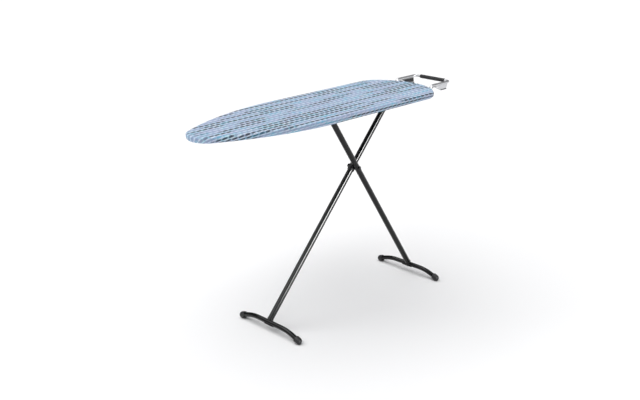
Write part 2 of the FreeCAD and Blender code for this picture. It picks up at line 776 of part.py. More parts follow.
def make_pivot_bolt():
    """Bolt, washer and nut at the crossing of the legs."""
    near_face = -DIM["leg_offset"] - DIM["leg_diameter"] / 2
    far_face = DIM["leg_offset"] + DIM["collar_diameter"] / 2
    head_base = PIVOT + Y_AXIS * (near_face - DIM["washer_sheet"] - 0.3)
    washer = ring("pivot_washer", head_base, Y_AXIS, "bolt_head_radius + 1.5", "pivot_diameter / 2",
                  "washer_sheet")
    keep(washer, "pivot_washer")
    head = cylinder("bolt_head", head_base, Y_AXIS * -1, "bolt_head_radius", "bolt_head_height")
    far_level = head_base.y - DIM["bolt_head_height"]
    dome = rounded("bolt_dome", head, 1.8, lambda edge: edge.BoundBox.YMax < far_level + 0.5)
    length = "2 * leg_offset + leg_diameter / 2 + collar_diameter / 2 + 10.5"
    shank = cylinder("bolt_shank", head_base, Y_AXIS, "pivot_diameter / 2", length)
    bolt = doc.addObject("Part::MultiFuse", "pivot_bolt")
    bolt.Shapes = [dome, shank]
    keep(bolt, "pivot_bolt")
    nut_body = doc.addObject("Part::Prism", "nut_body")
    nut_body.Polygon = 6
    bind(nut_body, Circumradius="pivot_diameter", Height="pivot_diameter * 0.8")
    nut_body.Placement = turned(PIVOT + Y_AXIS * (far_face + 0.1), Y_AXIS)
    nut_hole = cylinder("nut_hole", PIVOT + Y_AXIS * far_face, Y_AXIS, "pivot_diameter / 2",
                        "pivot_diameter * 2")
    keep(cut("pivot_nut", nut_body, [nut_hole]), "pivot_nut")


def foot_route(x, y):
    """Centre line of a foot bar: level in the middle and bent down to both ends, centred on y."""
    slope = math.radians(DIM["foot_end_slope"])
    run = DIM["foot_bar_reach"] - DIM["foot_bend_reach"]
    low = DIM["foot_height"] - run * math.tan(slope)
    points = [
        Vector(x, y - DIM["foot_bar_reach"], low),
        Vector(x, y - DIM["foot_bend_reach"], DIM["foot_height"]),
        Vector(x, y + DIM["foot_bend_reach"], DIM["foot_height"]),
        Vector(x, y + DIM["foot_bar_reach"], low),
    ]
    radius = DIM["foot_bend_radius"]
    return points, rounded_route(points, [radius, radius])


def make_foot_bar(label, x, y):
    """Bent foot bar: a hollow tube that stands on its two ends."""
    points, route = foot_route(x, y)
    direction = points[1] - points[0]
    pipes = []
    for radius in (DIM["foot_bar_diameter"] / 2, DIM["foot_bar_diameter"] / 2 - DIM["foot_wall"]):
        section = Part.Wire(Part.makeCircle(radius, points[0], direction))
        pipes.append(Part.Wire(route.Edges).makePipeShell([section], True, False))
    item = doc.addObject("Part::Feature", label)
    item.Shape = pipes[0].cut(pipes[1])
    return keep(item, label)


def make_foot_cap(label, x, y, side):
    """Rubber foot: a domed sleeve on the end of the bar, flat where it stands."""
    slope = math.radians(DIM["foot_end_slope"])
    outward = Vector(0, side * math.cos(slope), -math.sin(slope))
    run = DIM["foot_cap_reach"] - DIM["foot_bend_reach"]
    seat = Vector(x, y + side * DIM["foot_cap_reach"], DIM["foot_height"] - run * math.tan(slope))
    length = DIM["foot_cap_length"]
    start = seat - outward * (length / 2 + 0.5)
    shell = cylinder(f"{label}_shell", start, outward, "foot_cap_diameter / 2", "foot_cap_length")
    dome = doc.addObject("Part::Sphere", f"{label}_dome")
    bind(dome, Radius="foot_cap_diameter / 2")
    dome.Placement.Base = start + outward * length
    whole = doc.addObject("Part::MultiFuse", f"{label}_whole")
    whole.Shapes = [shell, dome]
    soft = rounded(f"{label}_soft", whole, 2.0, lambda edge: is_circle(edge, DIM["foot_cap_diameter"] / 2)
                   and edge.CenterOfMass.distanceToPoint(start) < 1)
    bore_start = start - outward * 2
    bore = cylinder(f"{label}_bore", bore_start, outward, "foot_bar_diameter / 2 + 0.5",
                    "foot_cap_length / 2 + 6")
    tool = DIM["tool_length"]
    corner = Vector(x - tool / 2, y + side * DIM["foot_cap_reach"] - tool / 2, -tool)
    floor = box(f"{label}_floor", corner, ("tool_length", "tool_length", "tool_length"))
    keep(cut(label, soft, [bore, floor]), label)


def make_saddle(label, x, y):
    """Steel saddle wrapped under the foot bar where the leg is welded, and its rivet."""
    base = Vector(x, y - DIM["saddle_length"] / 2, DIM["foot_height"])
    wrap = ring(f"{label}_ring", base, Y_AXIS, "foot_bar_diameter / 2 + saddle_sheet + 0.6",
                "foot_bar_diameter / 2 + 0.6", "saddle_length")
    lid = box(f"{label}_lid", base + Vector(-20, -1, -5), ("40", "saddle_length + 2", "40"))
    keep(cut(label, wrap, [lid]), label)
    low = DIM["foot_height"] - DIM["foot_bar_diameter"] / 2 - DIM["saddle_sheet"] - 0.6
    head = cylinder(f"{label}_rivet_blank", Vector(x, y, low - 0.02), Z_AXIS * -1, "4.5", "2.5")
    rivet = rounded(f"{label}_rivet", head, 1.8, lambda edge: edge.BoundBox.ZMax < low - 2)
    keep(rivet, label.replace("saddle", "rivet"))


def make_foot(name, x, y):
    """Foot bar, rubber feet and saddle of one leg, centred under the leg."""
    make_foot_bar(f"{name}_foot_bar", x, y)
    for side_name, side in SIDES:
        make_foot_cap(f"{name}_cap_{side_name}", x, y, side)
    make_saddle(f"{name}_saddle", x, y)


def make_front_leg():
    """The leg that hinges near the tail and stands under the nose."""
    hinge = Vector(DIM["front_hinge_x"], -DIM["rail_inside"] + 1, DIM["pin_height"])
    cope = cylinder("front_top_cope", hinge, Y_AXIS, "hinge_sleeve_diameter / 2 + 0.05", "2 * rail_inside")
    drill = pivot_tool("front_pivot_drill", "pivot_diameter / 2")
    make_leg_tube("front_leg_tube", "front_hinge_x", "front_foot_x", DIM["leg_offset"], "0", [cope, drill])
    sleeve = ring("hinge_sleeve", hinge, Y_AXIS, "hinge_sleeve_diameter / 2",
                  "hinge_pin_diameter / 2 + running_gap", "2 * rail_inside - 2")
    keep(sleeve, "hinge_sleeve")
    make_collar()
    make_pivot_bolt()
    make_foot("front", DIM["front_foot_x"], DIM["foot_offset"])


def make_rear_leg():
    """The leg whose top axle slides in the rails and that stands under the tail."""
    axle_start = Vector(DIM["rear_axle_x"], -DIM["axle_length"] / 2, DIM["pin_height"])
    axle_drill = cylinder("rear_axle_drill", axle_start, Y_AXIS, "axle_diameter / 2", "axle_length")
    drill = pivot_tool("rear_pivot_drill", "pivot_diameter / 2 + running_gap")
    tools = [axle_drill, drill]
    make_leg_tube("rear_leg_tube", "rear_axle_x", "rear_foot_x", -DIM["leg_offset"], "leg_overshoot", tools)
    keep(cylinder("slide_axle", axle_start, Y_AXIS, "axle_diameter / 2", "axle_length"), "slide_axle")
    for side_name, side in SIDES:
        base = Vector(DIM["rear_axle_x"], side * (DIM["rail_inside"] - DIM["bush_lap"]), DIM["pin_height"])
        outward = Y_AXIS * side
        bush = ring(f"axle_bush_{side_name}", base, outward, "bush_diameter / 2", "axle_diameter / 2",
                    "bush_length")
        keep(bush, f"axle_bush_{side_name}")
        clip_base = base + outward * (DIM["bush_length"] + 0.1)
        clip = ring(f"axle_clip_{side_name}", clip_base, outward, "bush_diameter / 2 + 3",
                    "axle_diameter / 2", "clip_sheet")
        keep(clip, f"axle_clip_{side_name}")
    top = Vector(DIM["rear_axle_x"], -DIM["leg_offset"], DIM["pin_height"])
    direction = top - Vector(DIM["rear_foot_x"], -DIM["leg_offset"], DIM["foot_height"])
    direction.normalize()
    plug_base = top + direction * (DIM["leg_overshoot"] + 0.1)
    plug = cylinder("plug_blank", plug_base, direction, "leg_diameter / 2", "plug_length")
    outer = DIM["leg_diameter"] / 2
    far_end = plug_base + direction * DIM["plug_length"]
    plug = rounded("rear_leg_plug", plug, 1.6, lambda edge: is_circle(edge, outer)
                   and edge.CenterOfMass.distanceToPoint(far_end) < 1)
    keep(plug, "rear_leg_plug")
    make_foot("rear", DIM["rear_foot_x"], -DIM["foot_offset"])


# ---------------------------------------------------------------- height lever

def make_lever_wire():
    """Bent wire: a shaft that turns in both rails, and an arm along the far edge."""
    x = DIM["lever_x"]
    level = DIM["lever_level"]
    points = [
        Vector(x, -DIM["rail_inside"] - 8, level),
        Vector(x, DIM["lever_reach_y"], level),
        Vector(DIM["lever_end_x"], DIM["lever_reach_y"], level),
    ]
    route = rounded_route(points, [20.0])
    round_sweep("lever_wire", route, Y_AXIS, DIM["lever_wire_diameter"] / 2)


def make_grip():
    """Moulded grip on the lever's arm, closed over the end of the wire."""
    end = Vector(DIM["lever_end_x"] + 3, DIM["lever_reach_y"], DIM["lever_level"])
    back = X_AXIS * -1
    shell = cylinder("grip_shell", end, back, "grip_diameter / 2", "grip_length")
    outer = DIM["grip_diameter"] / 2
    soft = rounded("grip_round", shell, 4.0, lambda edge: is_circle(edge, outer))
    bore = cylinder("grip_bore", end + back * 3, back, "lever_wire_diameter / 2", "grip_length")
    keep(cut("lever_grip", soft, [bore]), "lever_grip")


def make_latch():
    """Notched latch plate on the shaft, just above the path of the rear leg's axle."""
    body = doc.addObject("PartDesign::Body", "latch_plate")
    blade = sketch_in(body, "XZ_Plane", "latch_blade")
    low = DIM["latch_bottom"]
    high = DIM["latch_top"]
    x = DIM["lever_x"]
    end_x = DIM["rear_axle_x"] + 20
    polygon(blade, [(x, DIM["lever_level"] - 8), (x + 22, low), (end_x, low), (end_x, high), (x, high)])
    pad(body, "latch_sheet_plate", blade, "latch_sheet", midplane=True)
    doc.recompute()
    notches = sketch_in(body, "XZ_Plane", "latch_notches")
    for step in range(6):
        centre = DIM["rear_axle_x"] - step * DIM["notch_pitch"]
        polygon(notches, [
            (centre - 7, low - 1), (centre + 5, low - 1), (centre + 5, low + 5), (centre - 3, low + 5),
        ])
    circle(notches, x, DIM["lever_level"], DIM["lever_wire_diameter"] / 2)
    cutter = body.newObject("PartDesign::Pocket", "latch_cut")
    cutter.Profile = notches
    cutter.Type = 1
    cutter.Midplane = True
    body.Placement.Base = Vector(0, DIM["latch_y"], 0)
    return keep(body, "latch_plate")


def make_spring():
    """Torsion spring round the lever's shaft, outside the far rail."""
    wire = 1.5
    turns = 6
    radius = DIM["lever_wire_diameter"] / 2 + wire
    pitch = wire * 1.25
    helix = Part.makeHelix(pitch, pitch * turns, radius)
    first = helix.Edges[0]
    start = first.valueAt(first.FirstParameter)
    section = Part.Wire(Part.makeCircle(wire / 2, start, first.tangentAt(first.FirstParameter)))
    item = doc.addObject("Part::Feature", "lever_spring")
    item.Shape = Part.Wire(helix.Edges).makePipeShell([section], True, True)
    base = Vector(DIM["lever_x"], DIM["rail_inside"] + DIM["rail_sheet"] + 2, DIM["lever_level"])
    item.Placement = turned(base, Y_AXIS)
    keep(item, "lever_spring")


def make_lever():
    """The sprung lever that frees the rear leg's axle."""
    make_lever_wire()
    make_grip()
    make_latch()
    make_spring()
    base = Vector(DIM["lever_x"], -DIM["rail_inside"] - DIM["rail_sheet"] - 0.5, DIM["lever_level"])
    clip = ring("lever_clip", base, Y_AXIS * -1, "lever_wire_diameter / 2 + 3", "lever_wire_diameter / 2", "2")
    keep(clip, "lever_clip")


# ---------------------------------------------------------------- checks and export

def check_document():
    """Stops on any failed object and on any sub-part without its valid solids."""
    doc.recompute()
    for item in doc.Objects:
        if "Invalid" in item.State or "Error" in item.State:
            raise RuntimeError(f"{item.Name} failed: {item.State}")
    for item in nodes:
        shape = item.Shape
        if shape.isNull() or not shape.isValid() or not shape.Solids:
            raise RuntimeError(f"{item.Label} has no valid solid")
        if len(shape.Solids) != GROUPS.get(item.Label, 1):
            raise RuntimeError(f"{item.Label} has {len(shape.Solids)} solids")


def export_parts():
    """Writes each sub-part to its own file."""
    os.makedirs("parts", exist_ok=True)
    for item in nodes:
        item.Shape.exportStep(f"parts/{item.Label}.step")
    whole = FreeCAD.BoundBox()
    for item in nodes:
        whole.add(item.Shape.BoundBox)
    print(len(nodes), "nodes", whole)


fill_sheet()
make_board()
make_rest()
make_front_leg()
make_rear_leg()
make_lever()
check_document()
export_parts()
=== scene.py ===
# %% [markdown]
# # A folding ironing board
# The steel frame, the legs and the iron rest come from the engineering model, and this lesson
# gives them their finishes. The soft goods are made here: a printed cotton cover that is drawn
# tight over the rim, its gathered hem, and the felt under it. Everything is in metres, with
# +X from the nose to the iron rest, +Y across the board and +Z up.

import math

import bmesh
import bpy
from mathutils import Matrix, Vector, noise


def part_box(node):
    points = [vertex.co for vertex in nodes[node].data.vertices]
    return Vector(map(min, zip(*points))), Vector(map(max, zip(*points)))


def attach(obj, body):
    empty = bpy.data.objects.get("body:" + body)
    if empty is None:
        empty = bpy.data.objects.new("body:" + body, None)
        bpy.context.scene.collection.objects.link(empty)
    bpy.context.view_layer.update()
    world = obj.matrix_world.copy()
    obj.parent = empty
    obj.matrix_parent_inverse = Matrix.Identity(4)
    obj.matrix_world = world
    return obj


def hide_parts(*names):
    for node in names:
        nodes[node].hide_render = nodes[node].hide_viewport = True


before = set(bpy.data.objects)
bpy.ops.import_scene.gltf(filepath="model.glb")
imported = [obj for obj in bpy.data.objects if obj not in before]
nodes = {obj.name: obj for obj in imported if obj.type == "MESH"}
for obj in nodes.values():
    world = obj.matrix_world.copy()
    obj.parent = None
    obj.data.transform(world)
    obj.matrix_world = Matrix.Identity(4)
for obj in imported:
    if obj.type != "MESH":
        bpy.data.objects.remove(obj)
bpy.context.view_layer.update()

# %% [markdown]
# ## Small helpers
# A material in Blender is a graph of nodes. One helper adds a node, sets its fields and links
# its inputs, so that each finish below reads as a short recipe. Colours are written as the
# hex values that a paint chart gives, and one function turns them to the linear values that
# the renderer works in.


# %% Colour and node helpers
def linear(hex_colour):
    """Linear RGBA from an sRGB hex colour."""
    parts = [int(hex_colour[i:i + 2], 16) / 255 for i in (1, 3, 5)]
    bent = [c / 12.92 if c <= 0.04045 else ((c + 0.055) / 1.055) ** 2.4 for c in parts]
    return (*bent, 1.0)


def add(tree, kind, inputs=None, **fields):
    """Adds a node, sets its fields, and links or sets its inputs."""
    item = tree.nodes.new(kind)
    for name, value in fields.items():
        setattr(item, name, value)
    for name, value in (inputs or {}).items():
        if isinstance(value, bpy.types.NodeSocket):
            tree.links.new(value, item.inputs[name])
        else:
            item.inputs[name].default_value = value
    return item


def start_material(name):
    """A new node material: its tree and its Principled shader."""
    material = bpy.data.materials.new(name)
    material.use_nodes = True
    tree = material.node_tree
    return material, tree, tree.nodes["Principled BSDF"]


def set_inputs(shader, **values):
    """Sets plain values on a shader's own sockets; underscores stand for spaces."""
    for name, value in values.items():
        shader.inputs[name.replace("_", " ")].default_value = value


def ramp(tree, factor, stops):
    """A colour ramp from (position, hex) stops."""
    item = add(tree, "ShaderNodeValToRGB", {"Fac": factor})
    elements = item.color_ramp.elements
    while len(elements) < len(stops):
        elements.new(0.5)
    for element, (position, colour) in zip(elements, stops):
        element.position = position
        element.color = linear(colour)
    return item.outputs["Color"]


def grain(tree, size, detail=2.0, roughness=0.5):
    """Noise over Object coordinates whose features are about size metres."""
    place = add(tree, "ShaderNodeTexCoord").outputs["Object"]
    item = add(tree, "ShaderNodeTexNoise", {
        "Vector": place, "Scale": 1 / size, "Detail": detail, "Roughness": roughness,
    })
    return item.outputs["Fac"]


def bump(tree, shader, height, distance, strength=1.0):
    """Feeds a height to the shader's normal; distance is the relief's depth in metres."""
    item = add(tree, "ShaderNodeBump", {"Height": height, "Distance": distance, "Strength": strength})
    tree.links.new(item.outputs["Normal"], shader.inputs["Normal"])


def spread(tree, factor, low, high):
    """Maps 0..1 to low..high."""
    item = add(tree, "ShaderNodeMapRange", {"Value": factor, "To Min": low, "To Max": high})
    return item.outputs["Result"]


def paint(material, *names):
    """Gives a finish to engineering parts."""
    for name in names:
        slots = nodes[name].data.materials
        slots.clear()
        slots.append(material)
    print(material.name, "on", len(names), "parts")


# %% [markdown]
# ## Camera, floor and light
# The board is seen from its nose side and from above, as a catalogue shows it, on a pale floor
# that runs up to nothing. One very broad light stands high over the nose. Black enamel shows
# nothing but what it reflects, so a second, low light from the near side draws the bright line on
# the front leg. It lights gloss only, and leaves the cloth and the floor as they are. The room
# looks white but glows much less than it shows, or it would turn the enamel grey.

# %% Camera
CAMERA_PLACE = Vector((-2.3118, -2.2234, 1.5644))
CAMERA_YAW = math.radians(45.66)
CAMERA_PITCH = math.radians(19.41)
CAMERA_LENS = 51.53

camera_data = bpy.data.cameras.new("camera")
camera_data.lens = CAMERA_LENS
camera_data.sensor_width = 36.0
camera = bpy.data.objects.new("camera", camera_data)
aim = Matrix.Rotation(-CAMERA_YAW, 4, "Z") @ Matrix.Rotation(math.pi / 2 - CAMERA_PITCH, 4, "X")
camera.matrix_world = Matrix.Translation(CAMERA_PLACE) @ aim
bpy.context.scene.collection.objects.link(camera)
bpy.context.scene.camera = camera
print("camera at", tuple(CAMERA_PLACE), "lens", CAMERA_LENS)


# %% Floor, lights and room
def overhead_light(name, heading, elevation, width, strength, gloss_only=False):
    """A far-off light, given by where it stands in the sky and how wide it looks."""
    data = bpy.data.lights.new(name, "SUN")
    data.angle = math.radians(width)
    data.energy = strength
    lamp = bpy.data.objects.new(name, data)
    turn = Matrix.Rotation(math.radians(heading), 4, "Z")
    lamp.matrix_world = turn @ Matrix.Rotation(math.radians(90 - elevation), 4, "X")
    lamp.visible_diffuse = not gloss_only
    bpy.context.scene.collection.objects.link(lamp)
    print(name, "at elevation", elevation, "looks", width, "degrees wide")


overhead_light("key_light", heading=-110, elevation=72, width=76, strength=3.1)
overhead_light("gloss_light", heading=-2, elevation=17.6, width=15, strength=2.9, gloss_only=True)

FLOOR_REACH = 30.0
ROOM_GLOW = 0.20

floor_mesh = bpy.data.meshes.new("floor")
floor_bm = bmesh.new()
bmesh.ops.create_grid(floor_bm, x_segments=1, y_segments=1, size=FLOOR_REACH)
floor_bm.to_mesh(floor_mesh)
floor_bm.free()
floor = bpy.data.objects.new("floor", floor_mesh)
bpy.context.scene.collection.objects.link(floor)
floor_paint, floor_tree, floor_shader = start_material("matt_white_paper")
set_inputs(floor_shader, Base_Color=linear("#F7F7F8"), Roughness=0.9)
floor.data.materials.append(floor_paint)

world = bpy.data.worlds.new("white_room")
bpy.context.scene.world = world
world.use_nodes = True
room = world.node_tree
room.nodes["Background"].inputs["Color"].default_value = linear("#FFFFFF")
seen = add(room, "ShaderNodeLightPath").outputs["Is Camera Ray"]
room.links.new(spread(room, seen, ROOM_GLOW, 1.0), room.nodes["Background"].inputs["Strength"])
bpy.context.scene.view_settings.view_transform = "Standard"

# %% [markdown]
# ## Stove enamel on the legs
# The legs, the foot bars and their saddles are mild-steel tube dipped in black stove enamel. It
# is a glossy paint: nearly black, with a clear, slightly uneven reflection ("orange peel"). Low
# roughness gives the sharp highlight, and a faint bump over it gives the unevenness.


# %% Black stove enamel
def make_enamel():
    """Glossy black enamel with orange peel about 6 mm across."""
    material, tree, shader = start_material("black_stove_enamel")
    tone = ramp(tree, grain(tree, 0.02), [(0.3, "#050506"), (0.7, "#09090B")])
    tree.links.new(tone, shader.inputs["Base Color"])
    gloss = spread(tree, grain(tree, 0.012, detail=4.0), 0.07, 0.12)
    tree.links.new(gloss, shader.inputs["Roughness"])
    set_inputs(shader, IOR=1.40)
    bump(tree, shader, grain(tree, 0.006), 0.000012)
    return material


enamel = make_enamel()
paint(
    enamel, "front_leg_tube", "rear_leg_tube", "hinge_sleeve", "front_foot_bar", "rear_foot_bar",
    "front_saddle", "rear_saddle", "lever_wire", "latch_plate",
    "pivot_washer", "pivot_bolt", "pivot_nut",
)

# %% [markdown]
# ## Powder coat under the board
# The rim tube, the braces and the rails are powder coated: the powder melts to a satin skin
# with a fine, even stipple. The top sheet gets the same coat in light grey.


# %% Powder coats
def make_powder(name, dark, light):
    """Satin powder coat with a stipple of about 0.8 mm, drawn at 1.5 mm so that it shows."""
    material, tree, shader = start_material(name)
    tone = ramp(tree, grain(tree, 0.03), [(0.3, dark), (0.7, light)])
    tree.links.new(tone, shader.inputs["Base Color"])
    tree.links.new(spread(tree, grain(tree, 0.01), 0.38, 0.52), shader.inputs["Roughness"])
    bump(tree, shader, grain(tree, 0.0015, detail=1.0), 0.00006)
    return material


frame_coat = make_powder("black_powder_coat", "#19191B", "#242427")
mesh_coat = make_powder("grey_powder_coat", "#A9ABAE", "#BBBDC0")
paint(
    frame_coat, "rim_tube", "brace_front", "brace_middle", "brace_rear",
    "rail_near", "rail_far", "rest_strap",
)
paint(mesh_coat, "mesh_top")

# %% [markdown]
# ## Zinc on the fasteners
# The pins, clips, screws, rivets and the lever's spring are zinc plated: a bright metal with a
# faint cloudy spangle and a slightly blue cast from the passivation. The bolt, washer and nut
# where the legs cross are dipped with the legs, so they are enamelled instead.


# %% Zinc plate
def make_zinc():
    """Blue-passivated zinc plate with clouds about 4 mm across."""
    material, tree, shader = start_material("blue_zinc_plate")
    tone = ramp(tree, grain(tree, 0.004, detail=3.0), [(0.35, "#A7ADB4"), (0.65, "#CDD0D3")])
    tree.links.new(tone, shader.inputs["Base Color"])
    tree.links.new(spread(tree, grain(tree, 0.002), 0.24, 0.42), shader.inputs["Roughness"])
    set_inputs(shader, Metallic=1.0)
    return material


zinc = make_zinc()
paint(
    zinc, "hinge_pin", "hinge_cap_near", "hinge_cap_far", "slide_axle", "axle_clip_near",
    "axle_clip_far", "lever_spring", "lever_clip",
    "front_rivet", "rear_rivet", "rest_screws",
)

# %% [markdown]
# ## Silver lacquer on the iron rest
# The bent tube, the wings, the stays and the heel bar of the rest are sprayed with silver
# lacquer: aluminium flake in a clear binder. It reads as a pale, soft metal, never as a mirror.


# %% Silver lacquer
def make_silver():
    """Silver lacquer: pale flake with a sparkle of about 0.6 mm, drawn at 1 mm."""
    material, tree, shader = start_material("silver_lacquer")
    tone = ramp(tree, grain(tree, 0.001, detail=1.0), [(0.3, "#BDBEC1"), (0.7, "#DCDDDF")])
    tree.links.new(tone, shader.inputs["Base Color"])
    tree.links.new(spread(tree, grain(tree, 0.02), 0.28, 0.4), shader.inputs["Roughness"])
    set_inputs(shader, Metallic=0.85, Coat_Weight=0.25, Coat_Roughness=0.1)
    return material


silver = make_silver()
paint(
    silver, "rest_tube", "rest_stay_near", "rest_stay_far", "rest_wing_near", "rest_wing_far",
    "heel_bar",
)

# %% [markdown]
# ## Silicone, rubber and moulded plastic
# The sleeve, the pads and the lips of the rest are black silicone, which stays matt and stands
# the heat of the iron. The feet are moulded rubber with a slight bloom. The collar, the grip,
# the clamps and the end plug are moulded ABS with a spark-eroded texture, and the two bushes are
# plain nylon.


# %% Soft and moulded blacks
def make_moulded(name, dark, light, roughness, texture, relief):
    """A moulded polymer: its tone, how matt it is, and its texture's size and relief."""
    material, tree, shader = start_material(name)
    tone = ramp(tree, grain(tree, 0.015), [(0.3, dark), (0.7, light)])
    tree.links.new(tone, shader.inputs["Base Color"])
    matt = spread(tree, grain(tree, 0.008), roughness - 0.06, roughness + 0.06)
    tree.links.new(matt, shader.inputs["Roughness"])
    set_inputs(shader, IOR=1.5)
    bump(tree, shader, grain(tree, texture), relief)
    return material


silicone = make_moulded("black_silicone", "#1B1B1D", "#262628", 0.62, 0.0012, 0.00004)
rubber = make_moulded("moulded_rubber", "#131315", "#1E1E21", 0.42, 0.0016, 0.00005)
abs_black = make_moulded("spark_eroded_abs", "#17171A", "#212124", 0.48, 0.0010, 0.00005)
nylon = make_moulded("natural_nylon", "#D3CFC2", "#E2DED2", 0.45, 0.0020, 0.00002)
rest_sides = ("near", "far")
clamps = [f"rest_clamp_{side}_{end}" for side in rest_sides for end in ("front", "rear")]
soft_edges = [f"rest_{part}_{side}" for part in ("pad", "lip") for side in rest_sides]
paint(silicone, "rest_sleeve", *soft_edges)
paint(rubber, *[f"{leg}_cap_{side}" for leg in ("front", "rear") for side in rest_sides])
paint(abs_black, "pivot_collar", "lever_grip", "rear_leg_plug", *clamps)
paint(nylon, "axle_bush_near", "axle_bush_far")

# %% [markdown]
# ## The outline of the board
# Cover, hem and felt all follow one outline: a round nose, long shallow arcs, straight sides,
# round corners and a blunt tail. It is six arcs and two lines, so one half is worked out from the
# radii and the other half is its mirror. Any distance in from the edge only shortens the arcs.

# %% Outline from its arcs
cover_low, cover_high = (Vector(corner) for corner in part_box("cover"))
HALF_WIDTH = (cover_high.y - cover_low.y) / 2
BOARD_TOP = cover_high.z
BOARD_UNDER = cover_low.z
SIDE_RADIUS = 1.010
TAPER = 0.495
TAIL_RADIUS = 0.200
CORNER_RADIUS = 0.080

side_x = cover_low.x + TAPER
side_y = HALF_WIDTH - SIDE_RADIUS
nose_radius = (SIDE_RADIUS ** 2 - TAPER ** 2 - side_y ** 2) / (2 * (SIDE_RADIUS - TAPER))
nose_x = cover_low.x + nose_radius
tail_x = cover_high.x - TAIL_RADIUS
corner_y = HALF_WIDTH - CORNER_RADIUS
corner_x = tail_x + math.sqrt((TAIL_RADIUS - CORNER_RADIUS) ** 2 - corner_y ** 2)
nose_turn = math.atan2(-side_y, nose_x - side_x)
tail_turn = math.atan2(corner_y, corner_x - tail_x)

# Each stretch of the half outline, from the nose: centre, radius, first and last direction.
STRETCHES = [
    (nose_x, 0.0, nose_radius, math.pi, nose_turn),
    (side_x, side_y, SIDE_RADIUS, nose_turn, math.pi / 2),
    (None, None, corner_x - side_x, math.pi / 2, math.pi / 2),
    (corner_x, corner_y, CORNER_RADIUS, math.pi / 2, tail_turn),
    (tail_x, 0.0, TAIL_RADIUS, tail_turn, 0.0),
]


def stretch_length(stretch):
    """Length of one stretch along the edge."""
    x, _, radius, first, last = stretch
    return radius if x is None else radius * abs(last - first)


HALF_PERIMETER = sum(stretch_length(stretch) for stretch in STRETCHES)


def edge_point(distance):
    """Point and outward direction at a distance along the edge, from the nose round the far side."""
    mirrored = distance > HALF_PERIMETER
    left = 2 * HALF_PERIMETER - distance if mirrored else distance
    for stretch in STRETCHES:
        length = stretch_length(stretch)
        if left <= length or stretch is STRETCHES[-1]:
            break
        left -= length
    x, y, radius, first, last = stretch
    turn = first + (last - first) * min(left / length, 1.0)
    outward = Vector((math.cos(turn), math.sin(turn), 0.0))
    if x is None:
        point = Vector((side_x + left, HALF_WIDTH, 0.0))
    else:
        point = Vector((x, y, 0.0)) + outward * radius
    if mirrored:
        point.y *= -1
        outward.y *= -1
    return point, outward


print("nose radius", round(nose_radius, 4), "perimeter", round(2 * HALF_PERIMETER, 3))

# %% [markdown]
# ## Bands round the outline
# A cover, a hem or a pad edge is the same thing to a modeller: one ring of points round the
# outline that is extruded again and again, each time to the next step of a profile. The first
# ring is a circle from bmesh, with its points moved onto the outline, and each point keeps its
# number, so that every new ring knows where it belongs. The skirt is a strip of the same print
# at a smaller scale, so its print coordinates run faster than the cloth does.

# %% Rings of the board
RING_POINTS = 840
SKIRT_PRINT = 2.1
MERGE_DISTANCE = 0.00001
EDGE = [edge_point(2 * HALF_PERIMETER * i / RING_POINTS) for i in range(RING_POINTS)]


def place_ring(verts, number, cloth, step, wave):
    """Moves one ring to a profile step: (inset, height, distance along the cloth)."""
    inset, height, along = step
    for vert in verts:
        i = vert[number]
        point, outward = EDGE[i]
        push, lift = wave(i, along) if wave else (0.0, 0.0)
        vert.co = point - outward * (inset + push)
        vert.co.z = height + lift
        flat = point + outward * (along if along < 0 else along * SKIRT_PRINT)
        vert[cloth] = Vector((flat.x, flat.y, 0.0))


def board_band(profile, cap=False, wave=None, closed=False):
    """A bmesh band through the profile's steps, with a face inside the first ring when capped."""
    bm = bmesh.new()
    number = bm.verts.layers.int.new("number")
    cloth = bm.verts.layers.float_vector.new("cloth")
    start = bmesh.ops.create_circle(bm, cap_ends=cap, segments=RING_POINTS, radius=1.0)
    for i, vert in enumerate(start["verts"]):
        vert[number] = i
    place_ring(start["verts"], number, cloth, profile[0], wave)
    ring = list(bm.edges)
    for step in profile[1:]:
        grown = bmesh.ops.extrude_edge_only(bm, edges=ring)["geom"]
        ring_verts = [item for item in grown if isinstance(item, bmesh.types.BMVert)]
        place_ring(ring_verts, number, cloth, step, wave)
        kept = set(ring_verts)
        ring = [
            item for item in grown
            if isinstance(item, bmesh.types.BMEdge) and set(item.verts) <= kept
        ]
    if closed:
        bmesh.ops.remove_doubles(bm, verts=bm.verts, dist=MERGE_DISTANCE)
    uv = bm.loops.layers.uv.new("cloth")
    for face in bm.faces:
        face.smooth = True
        for loop in face.loops:
            loop[uv].uv = loop.vert[cloth].xy
    bmesh.ops.recalc_face_normals(bm, faces=bm.faces)
    return bm


def make_piece(name, bm, material, body):
    """Turns a bmesh into an object that rides on a body."""
    mesh = bpy.data.meshes.new(name)
    bm.to_mesh(mesh)
    bm.free()
    mesh.materials.append(material)
    piece = bpy.data.objects.new(name, mesh)
    bpy.context.scene.collection.objects.link(piece)
    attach(piece, body)
    print(name, "has", len(mesh.polygons), "faces")
    return piece


# %% [markdown]
# ## The printed cotton
# The cover is plain-woven cotton with a knit-look print. Rows of short slanted dashes run along
# the board. A row swells to navy for a stretch and fades again, as in ikat, and some dashes turn
# teal. Paler dashes fill the gaps between the rows, and the ground drifts between periwinkle,
# pale blue and grey. The pattern is drawn on the cloth's own coordinates, which are its UV map,
# so it runs on over the edge.

# %% Cotton print
ROW_PITCH = 0.0195
DASH_PITCH = 0.0240
DASH_HALF = 0.0112
DASH_THICK = 0.0066
PALE_HALF = 0.0108
PALE_THICK = 0.0040
SLANT = 0.55
ROW_SHIFT = 0.63
ROW_SCATTER = 0.137
HUE_LENGTH = 0.13
HUE_WIDTH = 0.035
NAVY_LENGTH = 0.30
TEAL_LENGTH = 0.07
PALE_LENGTH = 0.09
PUCKER_LENGTH = 0.05
PUCKER_WIDTH = 0.02
DARK_COVERAGE = 0.92
PALE_COVERAGE = 0.75
